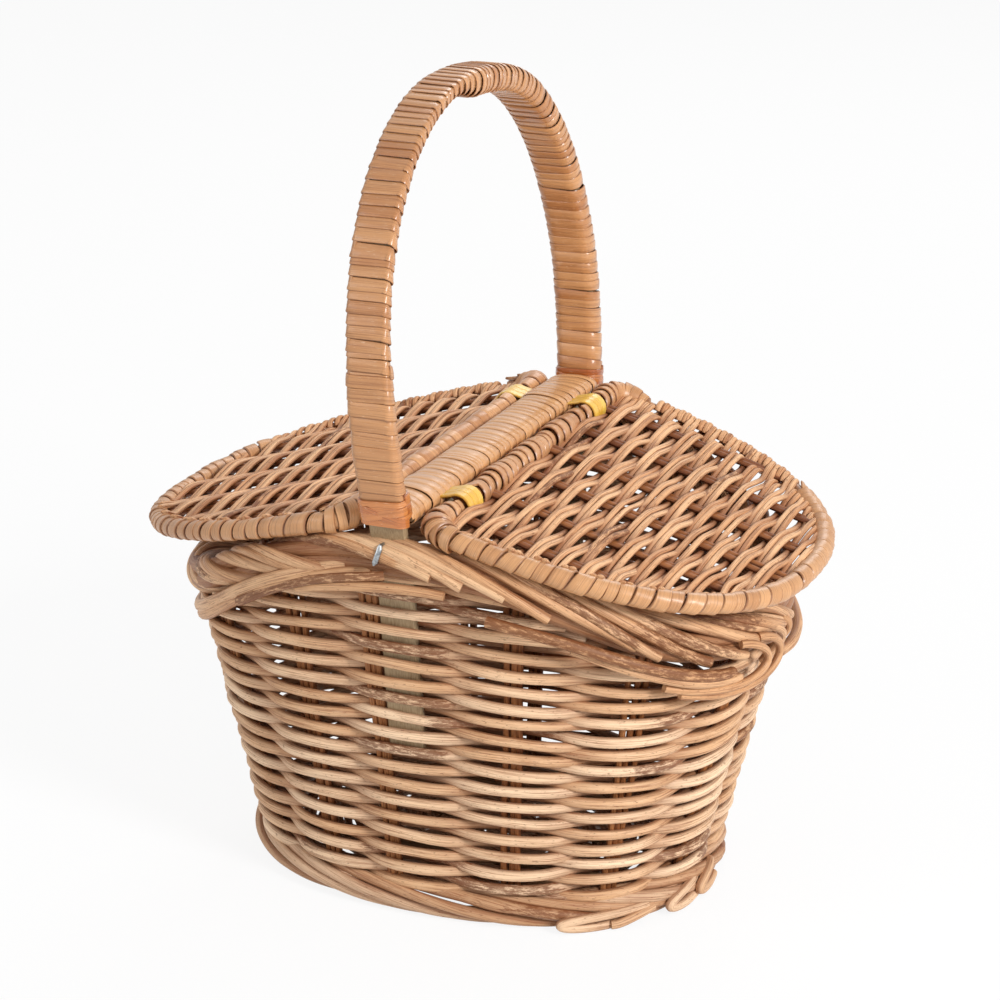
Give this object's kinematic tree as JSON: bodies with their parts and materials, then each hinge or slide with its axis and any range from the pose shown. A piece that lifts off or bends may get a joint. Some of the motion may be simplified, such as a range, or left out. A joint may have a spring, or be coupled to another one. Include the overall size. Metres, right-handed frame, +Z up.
{
  "type": "pie basket",
  "caption": "Small oval wicker picnic basket with a wrapped bow handle and half lids hinged on a centre bar.",
  "frame": {"origin": "on the standing surface, below the middle of the basket", "axes": "+X along the basket towards the tip of the right lid, +Y along the hinge bar towards the back, +Z up"},
  "size_m": [0.2568, 0.1918, 0.3009],
  "materials": {
    "willow": "dry peeled willow rods, straw to tan, matt",
    "bark_willow": "darker brown rods with bark left on in places, matt",
    "peeled_wood": "bare greyish wood strip, matt",
    "cane": "flat split cane, tan to orange, glossy skin side out",
    "glossy_cane": "orange brown flat cane, high gloss",
    "yellow_cane": "yellow flat cane, satin",
    "steel": "thin plain steel wire"
  },
  "bodies": {
    "basket": {"foot_border": "willow", "base_panel": "willow", "base_stick_1": "bark_willow", "base_stick_2": "bark_willow", "base_stick_3": "bark_willow", "side_weave": "willow", "stake_01": "bark_willow", "stake_02": "bark_willow", "stake_03": "bark_willow", "stake_04": "bark_willow", "stake_05": "bark_willow", "stake_06": "bark_willow", "stake_08": "bark_willow", "stake_09": "bark_willow", "stake_10": "bark_willow", "stake_11": "bark_willow", "stake_12": "bark_willow", "stake_13": "bark_willow", "rim_border": "willow", "staple_front": "steel", "staple_back": "steel", "handle_bow": "peeled_wood", "collar_front": "glossy_cane", "collar_back": "glossy_cane", "handle_binding_front": "cane", "handle_binding_arch": "cane", "handle_binding_back": "cane", "hinge_bar": "peeled_wood", "bar_binding": "cane", "bar_binding_front": "cane", "bar_binding_back": "cane", "hinge_tie_right_front": "yellow_cane", "hinge_tie_right_back": "yellow_cane", "hinge_tie_left_front": "yellow_cane", "hinge_tie_left_back": "yellow_cane"},
    "right_lid": {"right_lid_rail": "cane", "right_lid_rim": "willow", "right_lid_weave": "willow", "right_lid_rib_1": "bark_willow", "right_lid_rib_2": "bark_willow", "right_lid_rib_3": "bark_willow", "right_lid_rib_4": "bark_willow", "right_lid_rib_5": "bark_willow", "right_lid_rib_6": "bark_willow", "right_rim_binding_1": "cane", "right_rim_binding_2": "cane"},
    "left_lid": {"left_lid_rail": "cane", "left_lid_rim": "willow", "left_lid_weave": "willow", "left_lid_rib_1": "bark_willow", "left_lid_rib_2": "bark_willow", "left_lid_rib_3": "bark_willow", "left_lid_rib_4": "bark_willow", "left_lid_rib_5": "bark_willow", "left_lid_rib_6": "bark_willow", "left_rim_binding_1": "cane", "left_rim_binding_2": "cane"}
  },
  "joints": [
    {"name": "right_lid_hinge", "type": "hinge", "parent": "basket", "child": "right_lid", "pos_m": [0.0156, 0, 0.15903], "axis": [0, -1, 0], "range_deg": [0, 110]},
    {"name": "left_lid_hinge", "type": "hinge", "parent": "basket", "child": "left_lid", "pos_m": [-0.0156, 0, 0.15903], "axis": [0, 1, 0], "range_deg": [0, 110]}
  ]
}
